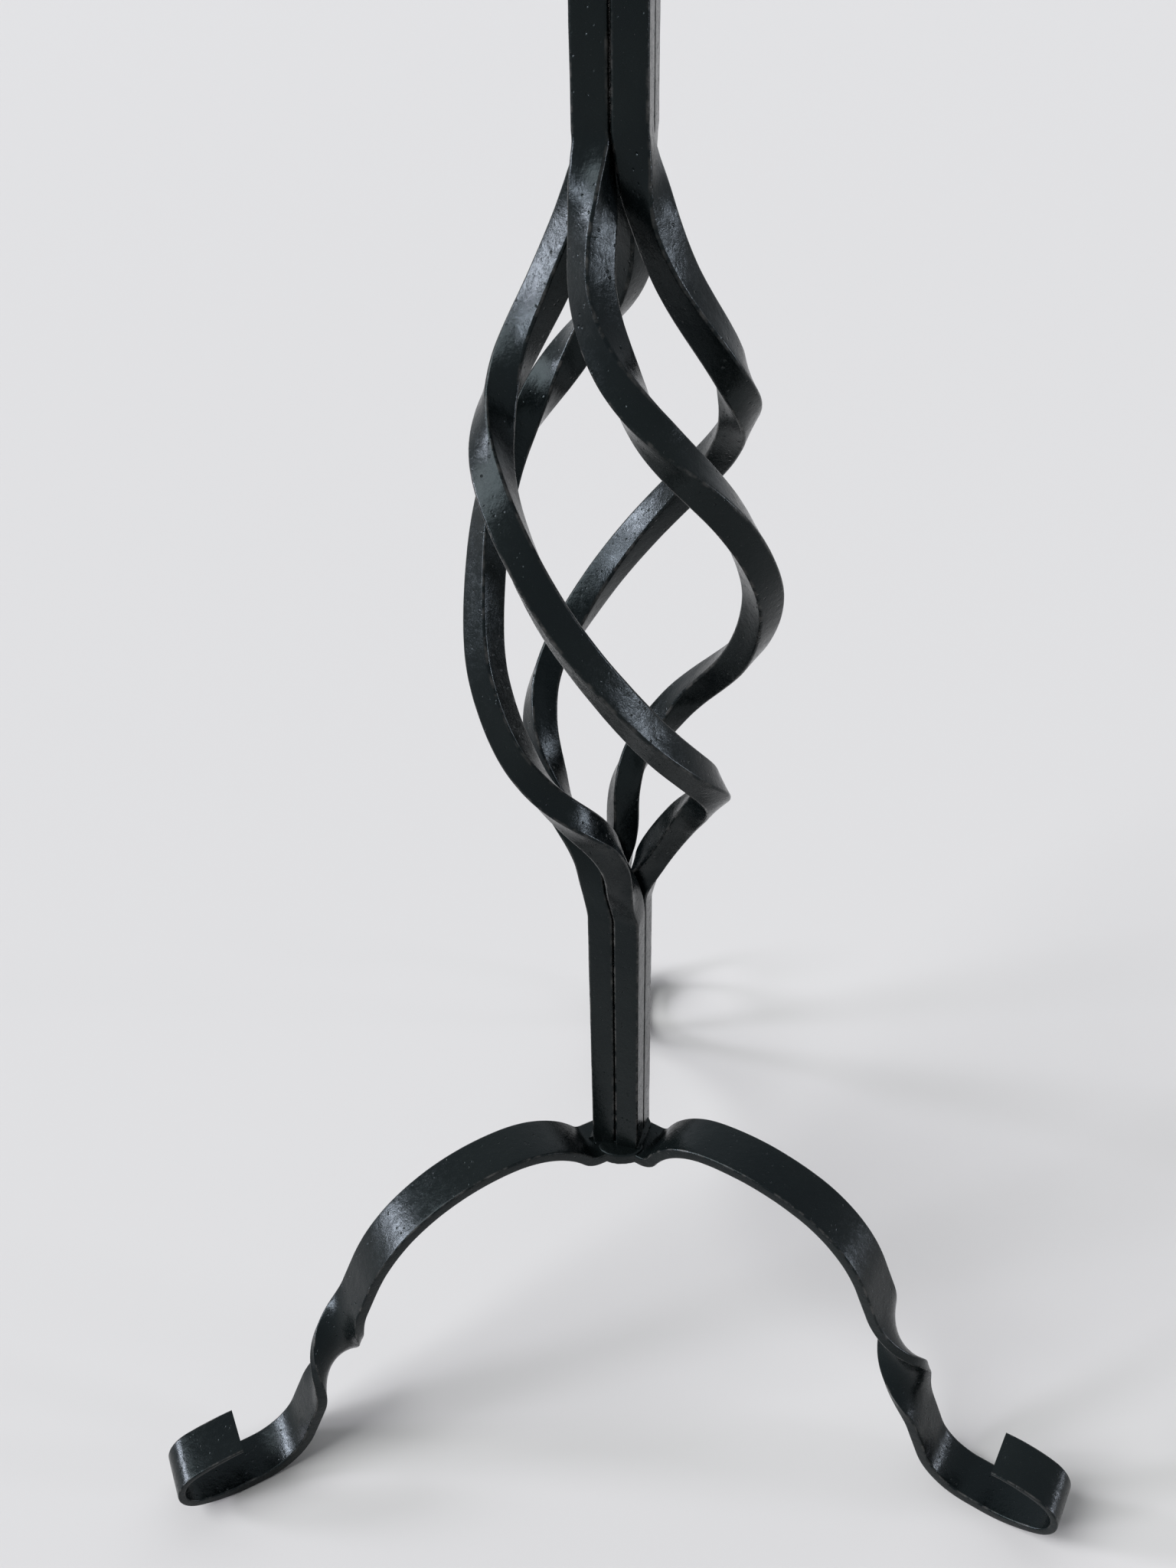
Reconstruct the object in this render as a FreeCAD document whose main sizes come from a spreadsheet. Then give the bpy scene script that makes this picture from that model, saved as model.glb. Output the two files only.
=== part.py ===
import FreeCAD, Part
import math
import os
import Sketcher
from FreeCAD import Placement, Rotation, Vector

doc = FreeCAD.newDocument("spiral_candle_holder")

# Driving sizes: lengths in millimetres, angles in degrees.
sizes = {
    # Four square bars of the stem and basket
    "bar_width": 10,
    "bar_seam": 0.4,
    "stem_angle": -9.3,
    "basket_turn_angle": 262.6,
    "basket_radius": 45,
    "basket_height": 268,
    "lower_stem": 130,
    "upper_stem": 80,
    # Three flat strips of the legs
    "strip_width": 20,
    "strip_thickness": 5,
    "hub_height": 120,
    "seat_margin": 0.5,
    "leg_stock": 335,
    "foot_flat": 6,
    "leg_angle": -31.8,
    # Weld metal
    "hub_weld_side": 5,
    "hub_weld_hang": 0.5,
    "stem_weld_leg": 3.5,
    "cap_weld_leg": 2.5,
    # Plate that closes the bar ends
    "cap_overhang": 4,
    "cap_thickness": 4,
    "cap_edge": 0.8,
    # Drip pan of turned-up sheet
    "pan_sheet": 1.5,
    "pan_radius": 50,
    "pan_height": 8,
    # Candle cup
    "cup_bore_radius": 11.5,
    "cup_wall": 1.5,
    "cup_depth": 28,
    "cup_seat": 2,
    "cup_lip": 1.5,
    # Screw through cup and pan into the cap
    "screw_radius": 2.5,
    "screw_clearance": 0.2,
    "screw_head_radius": 4.5,
    "screw_head_height": 3,
    "screw_slot_width": 1.2,
    "screw_slot_depth": 1.4,
}

sheet = doc.addObject("Spreadsheet::Sheet", "Sizes")
for row, (name, number) in enumerate(sizes.items(), start=1):
    sheet.set("A%d" % row, name)
    sheet.set("B%d" % row, str(number))
    sheet.setAlias("B%d" % row, name)
doc.recompute()


def size(name):
    """One driving size, as the sheet holds it."""
    return float(sheet.get(name))


bar_width = size("bar_width")
hub_height = size("hub_height")
strip_width = size("strip_width")
strip_thickness = size("strip_thickness")

# Levels up the stem, and the circle that the four bar centres stand on
basket_low = hub_height + size("lower_stem")
basket_high = basket_low + size("basket_height")
stem_top = basket_high + size("upper_stem")
bundle_radius = (bar_width + size("bar_seam")) / math.sqrt(2)
stem_top_angle = size("stem_angle")
stem_foot_angle = stem_top_angle + size("basket_turn_angle")
seat_length = 2 * bundle_radius + size("seat_margin")

UP = Vector(0, 0, 1)


def around(degrees):
    """Level unit vector that points away from the stem at an angle from +X."""
    return Vector(math.cos(math.radians(degrees)), math.sin(math.radians(degrees)), 0)


def closed(points):
    """Closed outline through the points."""
    return Part.makePolygon(points + points[:1])


def outline(width, thickness, centre, across, through):
    """Section of a bar, set square to its run."""
    x = across * (width / 2)
    y = through * (thickness / 2)
    return closed([centre + x + y, centre - x + y, centre - x - y, centre + x - y])


def add_shape(name, shape):
    """A piece that is bent or twisted out of bar, as one solid."""
    piece = doc.addObject("Part::Feature", name)
    piece.Label = name
    piece.Shape = shape
    piece.Placement = Placement()
    return piece


# Basket bars. At each station down the basket, a bar bows out by its share of the
# basket's radius, and runs ahead of the even turn by its lead in degrees. The bars
# start and end alike, where they still lie together, and were each forged by eye.
station_shares = (0, 0.06, 0.14, 0.24, 0.36, 0.48, 0.60, 0.72, 0.83, 0.92, 1)
basket_bars = (
    {
        "name": "bar_back_right",
        "bow_shares": (0, 0.11, 0.31, 0.64, 0.83, 0.94, 0.98, 0.78, 0.35, 0.11, 0),
        "lead": (0, 6, 3, 15, 26, 17, 4, -8, -2, -9, 0),
    },
    {
        "name": "bar_back_left",
        "bow_shares": (0, 0.11, 0.32, 0.66, 0.97, 0.99, 0.90, 0.90, 0.41, 0.09, 0),
        "lead": (0, 6, 0, -10, 2, -2, -4, 2, 0, -9, 0),
    },
    {
        "name": "bar_front_left",
        "bow_shares": (0, 0.11, 0.26, 0.49, 0.86, 1.04, 0.92, 0.58, 0.23, 0.09, 0),
        "lead": (0, 6, -5, 0, 10, 4, -5, 4, 8, -9, 0),
    },
    {
        "name": "bar_front_right",
        "bow_shares": (0, 0.11, 0.26, 0.68, 1.02, 1.03, 0.96, 0.75, 0.47, 0.11, 0),
        "lead": (0, 6, 12, -4, 0, 3, 4, 9, -4, -9, 0),
    },
)
basket_sections = 41

# How far a bar's corners have turned from facing straight out, in degrees. The
# bundle was twisted and then opened, which turned each bar on itself near both ends.
roll_shares = (0, 0.03, 0.05, 0.07, 0.09, 0.12, 0.17, 0.21, 0.25, 0.29, 0.34,
               0.68, 0.72, 0.76, 0.80, 0.84, 0.88, 0.91, 0.93, 0.95, 0.97, 1)
corner_rolls = (0, -16, -37, -56, -68, -73, -73, -63, -42, -18, 0,
                0, 12, 24, 44, 62, 68, 54, 34, 15, 3, 0)


def blend(stations, values, share):
    """Smooth curve through the values, level at both ends."""
    slopes = [0.0] * len(stations)
    for k in range(1, len(stations) - 1):
        slopes[k] = (values[k + 1] - values[k - 1]) / (stations[k + 1] - stations[k - 1])
    k = 0
    while k < len(stations) - 2 and share > stations[k + 1]:
        k += 1
    step = stations[k + 1] - stations[k]
    x = (share - stations[k]) / step
    rise = values[k] * (1 + 2 * x) * (1 - x) ** 2 + values[k + 1] * (3 - 2 * x) * x ** 2
    return rise + step * x * (1 - x) * (slopes[k] * (1 - x) - slopes[k + 1] * x)


def basket_place(bar, corner, share):
    """Centre of a bar, and the angle its outer corner faces, at a share of the basket."""
    bow = blend(station_shares, bar["bow_shares"], share)
    radius = bundle_radius + bow * (size("basket_radius") - bundle_radius)
    lead = blend(station_shares, bar["lead"], share)
    angle = stem_top_angle + corner + size("basket_turn_angle") * share + lead
    height = basket_high - size("basket_height") * share
    return around(angle) * radius + UP * height, angle


def basket_section(bar, corner, share, run):
    """Outline of a bar, its outer corner turned by the roll from facing out."""
    centre, angle = basket_place(bar, corner, share)
    outward = around(angle)
    outward = (outward - run * outward.dot(run)).normalize()
    roll = math.radians(blend(roll_shares, corner_rolls, share))
    outward = outward * math.cos(roll) - run.cross(outward) * math.sin(roll)
    sideways = run.cross(outward)
    across = (outward + sideways).normalize()
    through = (sideways - outward).normalize()
    return outline(bar_width, bar_width, centre, across, through)


def basket_run(bar, corner, share):
    """Direction in which a bar runs down at a share of the basket."""
    step = 1 / (basket_sections * basket_sections)
    low = basket_place(bar, corner, min(share + step, 1))[0]
    high = basket_place(bar, corner, max(share - step, 0))[0]
    return (low - high).normalize()


def make_bar(bar, corner):
    """One bar from the hub to the cap: straight foot, basket, straight top."""
    outlines = []
    for k in range(basket_sections):
        share = k / (basket_sections - 1)
        run = basket_run(bar, corner, share)
        if k in (0, basket_sections - 1):
            run = -UP
        outlines.append(basket_section(bar, corner, share, run))
    top = Part.Face(outlines[0]).extrude(UP * size("upper_stem"))
    foot = Part.Face(outlines[-1]).extrude(-UP * size("lower_stem"))
    basket = Part.makeLoft(outlines, True, False)
    return top.fuse([basket, foot])


for quarter, bar in enumerate(basket_bars):
    add_shape(bar["name"], make_bar(bar, 45 + 90 * quarter))


# Legs. Each strip is bent cold from the hub outwards: lengths of its arcs are shares
# of the stock, bends are in degrees and positive upwards. The straight shin carries
# a half twist and is as long as the height of the hub asks, and the foot's arc takes
# the strip back to level on the floor.
legs = (
    {
        "name": "leg_right",
        "bends": (("hub", 0.021, 64), ("crown", 0.093, -55), ("shoulder", 0.134, -30),
                  ("knee", 0.130, -46)),
        "foot_share": 0.083,
        "curls": (("toe", 0.060, 37), ("scroll", 0.152, 171)),
    },
    {
        "name": "leg_rear",
        "bends": (("hub", 0.021, 57), ("crown", 0.104, -53), ("shoulder", 0.128, -30),
                  ("knee", 0.128, -38)),
        "foot_share": 0.087,
        "curls": (("toe", 0.042, 20), ("scroll", 0.157, 208)),
    },
    {
        "name": "leg_left",
        "bends": (("hub", 0.021, 51), ("crown", 0.114, -50), ("shoulder", 0.122, -30),
                  ("knee", 0.127, -35)),
        "foot_share": 0.091,
        "curls": (("toe", 0.024, 4), ("scroll", 0.163, 250)),
    },
)
twist_start_share = 0.15
twist_end_share = 0.84
twist_angle = 180
twist_swaps = (0, 3)
twist_sections = 17


def rise_of(length, bend, heading):
    """Height gained along an arc of the strip."""
    if bend == 0:
        return length * math.sin(math.radians(heading))
    radius = length / math.radians(bend)
    return radius * (math.cos(math.radians(heading)) - math.cos(math.radians(heading + bend)))


class Strip:
    """A flat strip bent outwards from the stem, run by run."""

    def __init__(self, azimuth):
        self.out = around(azimuth)
        self.side = UP.cross(self.out)
        self.place = UP * (hub_height - strip_thickness / 2)
        self.heading = 0
        self.turned = 0
        self.runs = []

    def run(self):
        """Direction of travel."""
        angle = math.radians(self.heading)
        return self.out * math.cos(angle) + UP * math.sin(angle)

    def directions(self, turned):
        """Across and through the strip, turned about its run to the left."""
        top = self.run().cross(self.side)
        angle = math.radians(turned)
        across = self.side * math.cos(angle) - top * math.sin(angle)
        through = top * math.cos(angle) + self.side * math.sin(angle)
        return across, through

    def end_face(self):
        """Section of the strip where it has got to."""
        across, through = self.directions(self.turned)
        return Part.Face(outline(strip_width, strip_thickness, self.place, across, through))

    def straight(self, length):
        """A straight run."""
        face = self.end_face()
        self.runs.append(face.extrude(self.run() * length))
        self.place = self.place + self.run() * length

    def bend(self, length, degrees):
        """An arc, upwards when positive."""
        radius = length / math.radians(degrees)
        centre = self.place + self.run().cross(self.side) * radius
        face = self.end_face()
        self.runs.append(face.revolve(centre, self.side * -1, degrees))
        self.place = Rotation(self.side * -1, degrees).multVec(self.place - centre) + centre
        self.heading += degrees

    def twist_ring(self, length, degrees, share):
        """Corners of the twisted strip and the middles of its wide faces, in turn."""
        turned = self.turned + degrees * share * share * (3 - 2 * share)
        across, through = self.directions(turned)
        place = self.place + self.run() * length * share
        x = across * (strip_width / 2)
        y = through * (strip_thickness / 2)
        return [place + x + y, place + y, place - x + y, place - x - y, place - y, place + x - y]

    def twist(self, length, degrees):
        """A straight run that turns about itself, gently at both ends, in flat facets."""
        rings = []
        for k in range(twist_sections):
            rings.append(self.twist_ring(length, degrees, k / (twist_sections - 1)))
        faces = [Part.Face(closed(rings[0])), Part.Face(closed(rings[-1]))]
        for ring, after in zip(rings, rings[1:]):
            for k in range(len(ring)):
                other = (k + 1) % len(ring)
                near, far = (other, k) if k in twist_swaps else (k, other)
                faces.append(Part.Face(closed([ring[near], ring[far], after[far]])))
                faces.append(Part.Face(closed([ring[near], after[far], after[near]])))
        self.runs.append(Part.makeSolid(Part.makeShell(faces)))
        self.place = self.place + self.run() * length
        self.turned += degrees

    def solid(self):
        """All runs as one solid."""
        return self.runs[0].fuse(self.runs[1:])


def make_leg(leg, azimuth):
    """One leg from the mitre under the stem to the curled foot."""
    stock = size("leg_stock")
    foot_length = leg["foot_share"] * stock
    strip = Strip(azimuth)
    strip.straight(seat_length)
    for part, share, degrees in leg["bends"]:
        strip.bend(share * stock, degrees)
    drop = strip.place.z - strip_thickness / 2
    drop += rise_of(foot_length, -strip.heading, strip.heading)
    shin = drop / math.sin(math.radians(-strip.heading))
    strip.straight(shin * twist_start_share)
    strip.twist(shin * (twist_end_share - twist_start_share), twist_angle)
    strip.straight(shin * (1 - twist_end_share))
    strip.bend(foot_length, -strip.heading)
    middle = strip.place + strip.run() * size("foot_flat") / 2
    print(leg["name"], "rests at", [round(middle.x, 3), round(middle.y, 3), 0])
    strip.straight(size("foot_flat"))
    for part, share, degrees in leg["curls"]:
        strip.bend(share * stock, degrees)
    return strip.solid()


def mitre_block(azimuth):
    """The third of the round that a strip may fill at the hub."""
    reach = 2 * size("leg_stock")
    edge = [Vector(), around(azimuth - 60) * reach, around(azimuth) * reach, around(azimuth + 60) * reach]
    return Part.Face(closed(edge)).extrude(UP * stem_top)


leg_angles = [size("leg_angle") + 120 * k for k in range(len(legs))]
for leg, azimuth in zip(legs, leg_angles):
    strip = make_leg(leg, azimuth)
    add_shape(leg["name"], strip.common(mitre_block(azimuth)))


def weld_corner(azimuth):
    """Weld metal in the corner between two neighbouring strips."""
    corner = around(azimuth) * (strip_width / 2 / math.sin(math.radians(60)))
    left = corner + around(azimuth + 60) * size("hub_weld_side")
    right = corner + around(azimuth - 60) * size("hub_weld_side")
    foot = UP * (hub_height - strip_thickness - size("hub_weld_hang"))
    face = Part.Face(closed([corner + foot, right + foot, left + foot]))
    return face.extrude(UP * (strip_thickness + size("hub_weld_hang")))


add_shape("hub_weld", Part.makeCompound([weld_corner(azimuth + 60) for azimuth in leg_angles]))


# Fillet beads at the stem's foot and under the cap: a square frustum round the bundle,
# less the bundle, and at the foot only where a strip lies under it.
bundle = "(2 * Sizes.bar_width + Sizes.bar_seam)"


def frustum(name, low, high, base, tall, turn):
    """Square frustum round the stem: side at the bottom, side at the top, base height and height."""
    block = doc.addObject("Part::Wedge", name)
    block.Placement = Placement(Vector(), Rotation(UP, turn) * Rotation(Vector(1, 0, 0), 90))
    for axis in ("X", "Z"):
        block.setExpression(axis + "min", "-(%s) / 2" % low)
        block.setExpression(axis + "max", "(%s) / 2" % low)
        block.setExpression(axis + "2min", "-(%s) / 2" % high)
        block.setExpression(axis + "2max", "(%s) / 2" % high)
    block.setExpression("Ymin", "0")
    block.setExpression("Ymax", tall)
    block.setExpression("Placement.Base.z", base)
    return block


def cut(name, base, tool):
    """Base less tool."""
    result = doc.addObject("Part::Cut", name)
    result.Base = base
    result.Tool = tool
    return result


stem_top_rule = "Sizes.hub_height + Sizes.lower_stem + Sizes.basket_height + Sizes.upper_stem"
foot_ring = cut(
    "foot_ring",
    frustum("foot_ring_block", bundle + " + 2 * Sizes.stem_weld_leg", bundle, "Sizes.hub_height",
            "Sizes.stem_weld_leg", stem_foot_angle),
    frustum("foot_ring_core", bundle, bundle, "Sizes.hub_height", "Sizes.stem_weld_leg", stem_foot_angle),
)
seats = []
for azimuth in leg_angles:
    seat = doc.addObject("Part::Box", "weld_seat")
    seat.Placement = Placement(around(azimuth - 90) * (strip_width / 2), Rotation(UP, azimuth))
    seat.setExpression("Length", "sqrt(2) * (Sizes.bar_width + Sizes.bar_seam) + Sizes.seat_margin")
    seat.setExpression("Width", "Sizes.strip_width")
    seat.setExpression("Height", "Sizes.stem_weld_leg")
    seat.setExpression("Placement.Base.z", "Sizes.hub_height")
    seats.append(seat)
seat_area = doc.addObject("Part::MultiFuse", "seat_area")
seat_area.Shapes = seats
stem_weld = doc.addObject("Part::Common", "stem_weld")
stem_weld.Base = foot_ring
stem_weld.Tool = seat_area
cap_weld_rule = stem_top_rule + " - Sizes.cap_weld_leg"
cap_weld = cut(
    "cap_weld",
    frustum("cap_ring_block", bundle, bundle + " + 2 * Sizes.cap_weld_leg", cap_weld_rule,
            "Sizes.cap_weld_leg", stem_top_angle),
    frustum("cap_ring_core", bundle, bundle, cap_weld_rule, "Sizes.cap_weld_leg", stem_top_angle),
)


def new_body(name, base, turn=0):
    """An empty body that stands at a height on the stem's axis."""
    body = doc.addObject("PartDesign::Body", name)
    body.Label = name
    body.Placement = Placement(Vector(), Rotation(UP, turn))
    body.setExpression("Placement.Base.z", base)
    return body


def new_sketch(body, name, role):
    """A sketch on one of the body's own origin planes."""
    sketch = body.newObject("Sketcher::SketchObject", name)
    plane = [feature for feature in body.Origin.OriginFeatures if feature.Role == role][0]
    sketch.AttachmentSupport = (plane, "")
    sketch.MapMode = "FlatFace"
    return sketch


def bind(sketch, kind, *where, rule):
    """A sketch dimension whose value follows a rule of named sizes."""
    number = sketch.addConstraint(Sketcher.Constraint(kind, *where, 1.0))
    sketch.setExpression("Constraints[%d]" % number, rule)


def outline_sketch(body, name, role, points):
    """A closed outline of straight lines, each corner held by rules for its two places."""
    sketch = new_sketch(body, name, role)
    count = len(points)
    start = [around(360 * k / count) for k in range(count)]
    for k in range(count):
        sketch.addGeometry(Part.LineSegment(start[k], start[(k + 1) % count]), False)
    for k in range(count):
        sketch.addConstraint(Sketcher.Constraint("Coincident", k, 1, (k - 1) % count, 2))
    for k, rules in enumerate(points):
        for kind, axis, rule in zip(("DistanceX", "DistanceY"), (-2, -1), rules):
            if rule == "0":
                sketch.addConstraint(Sketcher.Constraint("PointOnObject", k, 1, axis))
            else:
                number = sketch.addConstraint(Sketcher.Constraint(kind, -1, 1, k, 1, 1.0))
                sketch.setExpression("Constraints[%d]" % number, rule)
    return sketch


def turned_body(name, base, points):
    """A round piece, turned about the stem's axis from its half section."""
    body = new_body(name, base)
    profile = outline_sketch(body, name + "_section", "XZ_Plane", points)
    turning = body.newObject("PartDesign::Revolution", name + "_turning")
    turning.Profile = profile
    turning.ReferenceAxis = (profile, ["V_Axis"])
    turning.Angle = 360
    return body


# Square plate on the bar ends, with the screw's hole
cap = new_body("stem_cap", stem_top_rule, stem_top_angle)
cap_half = "(%s / 2 + Sizes.cap_overhang)" % bundle
cap_corners = [(cap_half, cap_half), ("-" + cap_half, cap_half), ("-" + cap_half, "-" + cap_half),
               (cap_half, "-" + cap_half)]
cap_outline = outline_sketch(cap, "cap_outline", "XY_Plane", cap_corners)
cap_plate = cap.newObject("PartDesign::Pad", "cap_plate")
cap_plate.Profile = cap_outline
cap_plate.setExpression("Length", "Sizes.cap_thickness")
hole_outline = new_sketch(cap, "cap_hole_outline", "XY_Plane")
hole_outline.addGeometry(Part.Circle(Vector(), UP, size("screw_radius")), False)
hole_outline.addConstraint(Sketcher.Constraint("Coincident", 0, 3, -1, 1))
hole_radius = hole_outline.addConstraint(Sketcher.Constraint("Radius", 0, size("screw_radius")))
screw_hole = "(Sizes.screw_radius + Sizes.screw_clearance)"
hole_outline.setExpression("Constraints[%d]" % hole_radius, screw_hole)
cap_hole = cap.newObject("PartDesign::Pocket", "cap_hole")
cap_hole.Profile = hole_outline
cap_hole.Type = "ThroughAll"
cap_hole.Reversed = True
doc.recompute()
cap_edges = cap.newObject("PartDesign::Chamfer", "cap_edges")
top_edges = []
for number, edge in enumerate(cap_hole.Shape.Edges, start=1):
    low = min(vertex.Point.z for vertex in edge.Vertexes)
    if edge.Curve.TypeId == "Part::GeomLine" and low > size("cap_thickness") / 2:
        top_edges.append("Edge%d" % number)
cap_edges.Base = (cap_hole, top_edges)
cap_edges.setExpression("Size", "Sizes.cap_edge")

# Drip pan: a flat floor on the cap and a turned-up edge that keeps the wax in
pan_rule = stem_top_rule + " + Sizes.cap_thickness"
turned_body("drip_pan", pan_rule, [
    (screw_hole, "0"),
    ("Sizes.pan_radius", "0"),
    ("Sizes.pan_radius", "Sizes.pan_height"),
    ("Sizes.pan_radius - Sizes.pan_sheet", "Sizes.pan_height"),
    ("Sizes.pan_radius - Sizes.pan_sheet", "Sizes.pan_sheet"),
    (screw_hole, "Sizes.pan_sheet"),
])

# Candle cup on the pan's floor, with a straight bore and a lip at its mouth. The
# screw's head lies in a recess of its base, flush with the floor of the bore.
cup_rule = pan_rule + " + Sizes.pan_sheet"
cup_outside = "Sizes.cup_bore_radius + Sizes.cup_wall"
cup_floor = "Sizes.cup_seat + Sizes.screw_head_height"
cup_height = cup_floor + " + Sizes.cup_depth"
head_recess = "Sizes.screw_head_radius + Sizes.screw_clearance"
turned_body("candle_cup", cup_rule, [
    (screw_hole, "0"),
    (cup_outside, "0"),
    (cup_outside, cup_height + " - 2 * Sizes.cup_lip"),
    (cup_outside + " + Sizes.cup_lip", cup_height + " - 2 * Sizes.cup_lip"),
    (cup_outside + " + Sizes.cup_lip", cup_height),
    ("Sizes.cup_bore_radius", cup_height),
    ("Sizes.cup_bore_radius", cup_floor),
    (head_recess, cup_floor),
    (head_recess, "Sizes.cup_seat"),
    (screw_hole, "Sizes.cup_seat"),
])

# Slotted screw: its head holds the cup's base and the pan down on the cap
screw_end = "-(Sizes.cup_seat + Sizes.pan_sheet + Sizes.cap_thickness - Sizes.screw_clearance)"
screw = turned_body("cup_screw", cup_rule + " + Sizes.cup_seat", [
    ("0", "Sizes.screw_head_height"),
    ("0", screw_end),
    ("Sizes.screw_radius", screw_end),
    ("Sizes.screw_radius", "0"),
    ("Sizes.screw_head_radius", "0"),
    ("Sizes.screw_head_radius", "Sizes.screw_head_height"),
])
doc.recompute()
slot_outline = outline_sketch(screw, "slot_outline", "XY_Plane", [
    ("Sizes.screw_head_radius + Sizes.screw_slot_width", "Sizes.screw_slot_width / 2"),
    ("-(Sizes.screw_head_radius + Sizes.screw_slot_width)", "Sizes.screw_slot_width / 2"),
    ("-(Sizes.screw_head_radius + Sizes.screw_slot_width)", "-Sizes.screw_slot_width / 2"),
    ("Sizes.screw_head_radius + Sizes.screw_slot_width", "-Sizes.screw_slot_width / 2"),
])
slot_outline.setExpression("AttachmentOffset.Base.z", "Sizes.screw_head_height")
screw_slot = screw.newObject("PartDesign::Pocket", "screw_slot")
screw_slot.Profile = slot_outline
screw_slot.setExpression("Length", "Sizes.screw_slot_depth")

doc.recompute()

pieces = [bar["name"] for bar in basket_bars] + [leg["name"] for leg in legs]
pieces += ["hub_weld", "stem_weld", "cap_weld", "stem_cap", "drip_pan", "candle_cup", "cup_screw"]
for item in doc.Objects:
    if "Invalid" in item.State or "Error" in item.State:
        raise RuntimeError("%s failed to build" % item.Label)
os.makedirs("parts", exist_ok=True)
for name in pieces:
    piece = doc.getObjectsByLabel(name)[0]
    if piece.Shape.isNull() or not piece.Shape.isValid():
        raise RuntimeError("%s has no valid shape" % name)
for name in pieces:
    doc.getObjectsByLabel(name)[0].Shape.exportStep("parts/%s.step" % name)
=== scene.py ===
"""Looks of a wrought-iron spiral candle holder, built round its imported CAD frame. Lengths are in metres."""

import math

import bmesh
import bpy
from mathutils import Matrix, Vector


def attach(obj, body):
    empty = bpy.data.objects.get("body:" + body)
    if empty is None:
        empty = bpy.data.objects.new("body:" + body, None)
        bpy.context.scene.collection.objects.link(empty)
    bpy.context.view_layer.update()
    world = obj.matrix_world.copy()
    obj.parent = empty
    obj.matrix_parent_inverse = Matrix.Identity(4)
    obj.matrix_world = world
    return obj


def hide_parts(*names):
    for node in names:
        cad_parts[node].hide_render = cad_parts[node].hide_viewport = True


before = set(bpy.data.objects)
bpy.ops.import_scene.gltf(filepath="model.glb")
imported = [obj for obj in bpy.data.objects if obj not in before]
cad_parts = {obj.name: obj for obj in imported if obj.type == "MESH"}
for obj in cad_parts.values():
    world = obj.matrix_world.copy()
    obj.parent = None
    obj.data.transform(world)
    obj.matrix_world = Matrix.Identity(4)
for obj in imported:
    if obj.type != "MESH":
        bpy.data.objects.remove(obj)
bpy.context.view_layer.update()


# The basket: four lengths of 10 mm square mild steel bar, each in one piece from the hub
# to the cap. Welded together at both ends, they were twisted hot and let out again by eye,
# which left every bar with kinks of its own. Brushed all over with black satin paint.
bar_width = 0.010
bar_corner_round = 0.0010
bar_seam = 0.0004
bundle_radius = (bar_width + bar_seam) / math.sqrt(2)
hub_top = 0.120
basket_low = 0.250
basket_high = 0.518
stem_top = 0.598
basket_radius = 0.045
stem_top_angle = -9.3
basket_turn_angle = 262.6
stem_foot_angle = stem_top_angle + basket_turn_angle
# At shares of the way down the basket: how far a bar bows out, how many degrees it leads
# the even turn, and how many degrees its corners have turned on themselves.
station_shares = (0, 0.06, 0.14, 0.24, 0.36, 0.48, 0.60, 0.72, 0.83, 0.92, 1)
basket_bars = (
    {
        "name": "bar_back_right",
        "bow_shares": (0, 0.06, 0.29, 0.64, 0.83, 0.94, 0.98, 0.78, 0.35, 0.11, 0),
        "lead_angles": (0, 10, 5, 15, 26, 17, 4, -8, -2, -9, 0),
    },
    {
        "name": "bar_back_left",
        "bow_shares": (0, 0.06, 0.30, 0.66, 0.97, 0.99, 0.90, 0.90, 0.41, 0.09, 0),
        "lead_angles": (0, 6, 0, -10, 2, -2, -4, 2, 0, -9, 0),
    },
    {
        "name": "bar_front_left",
        "bow_shares": (0, 0.11, 0.26, 0.49, 0.86, 1.04, 0.92, 0.58, 0.23, 0.09, 0),
        "lead_angles": (0, 6, -5, 0, 10, 4, -5, 4, 8, -9, 0),
    },
    {
        "name": "bar_front_right",
        "bow_shares": (0, 0.06, 0.25, 0.68, 1.02, 1.03, 0.96, 0.75, 0.47, 0.11, 0),
        "lead_angles": (0, 6, 12, -4, 0, 3, 4, 9, -4, -9, 0),
    },
)
roll_shares = (0, 0.03, 0.05, 0.07, 0.09, 0.12, 0.17, 0.21, 0.25, 0.29, 0.34,
               0.68, 0.72, 0.76, 0.80, 0.84, 0.88, 0.91, 0.93, 0.95, 0.97, 1)
roll_angles = (0, -16, -37, -56, -68, -73, -73, -63, -42, -18, 0,
               0, 12, 24, 44, 62, 68, 54, 34, 15, 3, 0)
UP = Vector((0, 0, 1))


def around(degrees):
    """Level direction away from the stem, at an angle from +X."""
    return Vector((math.cos(math.radians(degrees)), math.sin(math.radians(degrees)), 0))


def blend(stations, values, share):
    """Smooth curve through the values, level at both ends."""
    slopes = [0.0] * len(stations)
    for k in range(1, len(stations) - 1):
        slopes[k] = (values[k + 1] - values[k - 1]) / (stations[k + 1] - stations[k - 1])
    k = 0
    while k < len(stations) - 2 and share > stations[k + 1]:
        k += 1
    step = stations[k + 1] - stations[k]
    x = (share - stations[k]) / step
    rise = values[k] * (1 + 2 * x) * (1 - x) ** 2 + values[k + 1] * (3 - 2 * x) * x ** 2
    return rise + step * x * (1 - x) * (slopes[k] * (1 - x) - slopes[k + 1] * x)


def ease(x):
    """Smooth step from 0 to 1."""
    x = min(max(x, 0), 1)
    return x * x * (3 - 2 * x)


def only(piece):
    """Makes a piece the only one selected, and active."""
    bpy.ops.object.select_all(action="DESELECT")
    piece.select_set(True)
    bpy.context.view_layer.objects.active = piece


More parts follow.
